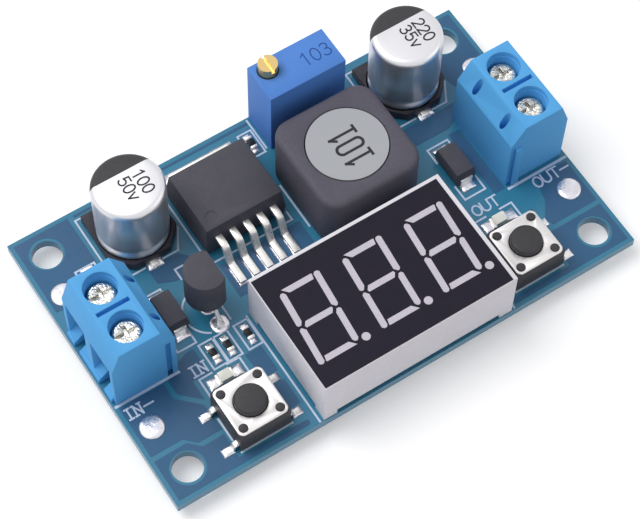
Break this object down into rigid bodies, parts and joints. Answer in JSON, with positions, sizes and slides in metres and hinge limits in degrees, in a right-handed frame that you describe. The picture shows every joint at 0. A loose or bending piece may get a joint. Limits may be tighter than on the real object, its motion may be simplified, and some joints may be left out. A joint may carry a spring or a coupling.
{
  "type": "buck converter module",
  "caption": "Adjustable step-down power converter board with screw terminals, a multi-turn trimmer and a small numeric meter.",
  "frame": {"origin": "centre of the four mounting holes, on the board's underside", "axes": "+X along the board from the input end to the output end, +Y from the display edge to the back edge, +Z out of the component side"},
  "size_m": [0.0574, 0.0354, 0.0141],
  "materials": {
    "solder_mask": "glossy blue solder mask over glass-epoxy laminate",
    "solder": "bright tin solder",
    "terminal_plastic": "moulded blue nylon, satin",
    "plated_steel": "zinc-plated steel",
    "tinned_contact": "tinned copper alloy",
    "can_aluminium": "drawn aluminium, satin",
    "black_plastic": "black moulded plastic",
    "ferrite": "dark grey ferrite, lacquered",
    "drum_top": "grey-lacquered ferrite",
    "copper_wire": "enamelled copper wire",
    "epoxy_black": "black moulded epoxy, fine satin",
    "tinned_lead": "tinned lead frame",
    "chip_black": "black-glazed chip",
    "chip_tan": "tan ceramic chip",
    "lamp_resin": "clear and white resin",
    "white_shell": "white polycarbonate",
    "black_film": "black printed film",
    "segment_resin": "milky diffusing resin, unlit",
    "laminate_green": "green glass-epoxy laminate",
    "stainless": "stainless sheet, satin",
    "rubbery_black": "black moulded nylon, satin",
    "trimmer_plastic": "moulded blue plastic",
    "brass": "turned brass",
    "seal_rubber": "black rubber ring",
    "wheel_plastic": "natural nylon",
    "contact_gold": "sprung contact alloy",
    "alumina": "fired alumina"
  },
  "bodies": {
    "board": {"circuit_board": "solder_mask", "solder_pads": "solder", "solder_joints": "solder", "input_terminal_housing": "terminal_plastic", "output_terminal_housing": "terminal_plastic", "terminal_pins": "tinned_contact", "input_capacitor_can": "can_aluminium", "input_capacitor_base": "black_plastic", "output_capacitor_can": "can_aluminium", "output_capacitor_base": "black_plastic", "capacitor_leads": "tinned_lead", "inductor_shield": "ferrite", "inductor_core": "drum_top", "inductor_winding": "copper_wire", "inductor_terminals": "tinned_contact", "regulator_body": "epoxy_black", "regulator_tab": "tinned_lead", "regulator_leads": "tinned_lead", "meter_supply_body": "epoxy_black", "meter_supply_leads": "tinned_lead", "input_diode_body": "epoxy_black", "output_diode_body": "epoxy_black", "diode_tabs": "tinned_lead", "chip_resistors": "chip_black", "chip_capacitor": "chip_tan", "chip_end_caps": "tinned_lead", "input_lamp": "lamp_resin", "output_lamp": "lamp_resin", "display_shell": "white_shell", "display_face": "black_film", "display_segments": "segment_resin", "display_board": "laminate_green", "display_pins": "tinned_contact", "meter_chip": "epoxy_black", "input_button_base": "rubbery_black", "input_button_cover": "stainless", "input_button_dome": "stainless", "input_button_contacts": "stainless", "output_button_base": "rubbery_black", "output_button_cover": "stainless", "output_button_dome": "stainless", "output_button_contacts": "stainless", "trimmer_case": "trimmer_plastic", "trimmer_ring": "seal_rubber", "trimmer_element": "alumina"},
    "input_negative_screw": {"input_negative_screw": "plated_steel"},
    "input_negative_cage": {"input_negative_cage": "plated_steel"},
    "input_positive_screw": {"input_positive_screw": "plated_steel"},
    "input_positive_cage": {"input_positive_cage": "plated_steel"},
    "output_negative_screw": {"output_negative_screw": "plated_steel"},
    "output_negative_cage": {"output_negative_cage": "plated_steel"},
    "output_positive_screw": {"output_positive_screw": "plated_steel"},
    "output_positive_cage": {"output_positive_cage": "plated_steel"},
    "input_button_plunger": {"input_button_plunger": "rubbery_black"},
    "output_button_plunger": {"output_button_plunger": "rubbery_black"},
    "trimmer_screw": {"trimmer_screw": "brass"},
    "trimmer_wheel": {"trimmer_wheel": "wheel_plastic", "trimmer_wiper": "contact_gold"}
  },
  "joints": [
    {"name": "input_negative_screw_turn", "type": "hinge", "parent": "board", "child": "input_negative_screw", "pos_m": [-0.02485, -0.00214, 0.0086], "axis": [0, 0, -1], "range_deg": [0, 1440]},
    {"name": "input_negative_cage_rise", "type": "slide", "parent": "board", "child": "input_negative_cage", "axis": [0, 0, 1], "range_m": [0, 0.0018]},
    {"name": "input_positive_screw_turn", "type": "hinge", "parent": "board", "child": "input_positive_screw", "pos_m": [-0.02485, 0.00294, 0.0086], "axis": [0, 0, -1], "range_deg": [0, 1440]},
    {"name": "input_positive_cage_rise", "type": "slide", "parent": "board", "child": "input_positive_cage", "axis": [0, 0, 1], "range_m": [0, 0.0018]},
    {"name": "output_negative_screw_turn", "type": "hinge", "parent": "board", "child": "output_negative_screw", "pos_m": [0.02485, -0.00214, 0.0086], "axis": [0, 0, -1], "range_deg": [0, 1440]},
    {"name": "output_negative_cage_rise", "type": "slide", "parent": "board", "child": "output_negative_cage", "axis": [0, 0, 1], "range_m": [0, 0.0018]},
    {"name": "output_positive_screw_turn", "type": "hinge", "parent": "board", "child": "output_positive_screw", "pos_m": [0.02485, 0.00294, 0.0086], "axis": [0, 0, -1], "range_deg": [0, 1440]},
    {"name": "output_positive_cage_rise", "type": "slide", "parent": "board", "child": "output_positive_cage", "axis": [0, 0, 1], "range_m": [0, 0.0018]},
    {"name": "input_button_press", "type": "slide", "parent": "board", "child": "input_button_plunger", "axis": [0, 0, -1], "range_m": [0, 0.00025], "stiffness_N_per_m": 6000, "springref_m": -0.00002, "deforming": ["input_button_dome"]},
    {"name": "output_button_press", "type": "slide", "parent": "board", "child": "output_button_plunger", "axis": [0, 0, -1], "range_m": [0, 0.00025], "stiffness_N_per_m": 6000, "springref_m": -0.00002, "deforming": ["output_button_dome"]},
    {"name": "trimmer_screw_turn", "type": "hinge", "parent": "board", "child": "trimmer_screw", "pos_m": [0.00345, 0.01625, 0.0116], "axis": [0, 0, 1], "range_deg": [-4500, 4500]},
    {"name": "trimmer_wheel_turn", "type": "hinge", "parent": "board", "child": "trimmer_wheel", "pos_m": [0.00715, 0.01625, 0.0062], "axis": [0, 1, 0], "range_deg": [-150, 150]}
  ],
  "couplings": [
    {"joint": "input_negative_screw_turn", "follows": "input_negative_cage_rise", "rad_per_m": 13963},
    {"joint": "input_positive_screw_turn", "follows": "input_positive_cage_rise", "rad_per_m": 13963},
    {"joint": "output_negative_screw_turn", "follows": "output_negative_cage_rise", "rad_per_m": 13963},
    {"joint": "output_positive_screw_turn", "follows": "output_positive_cage_rise", "rad_per_m": 13963},
    {"joint": "trimmer_wheel_turn", "follows": "trimmer_screw_turn", "ratio": -0.033333}
  ]
}
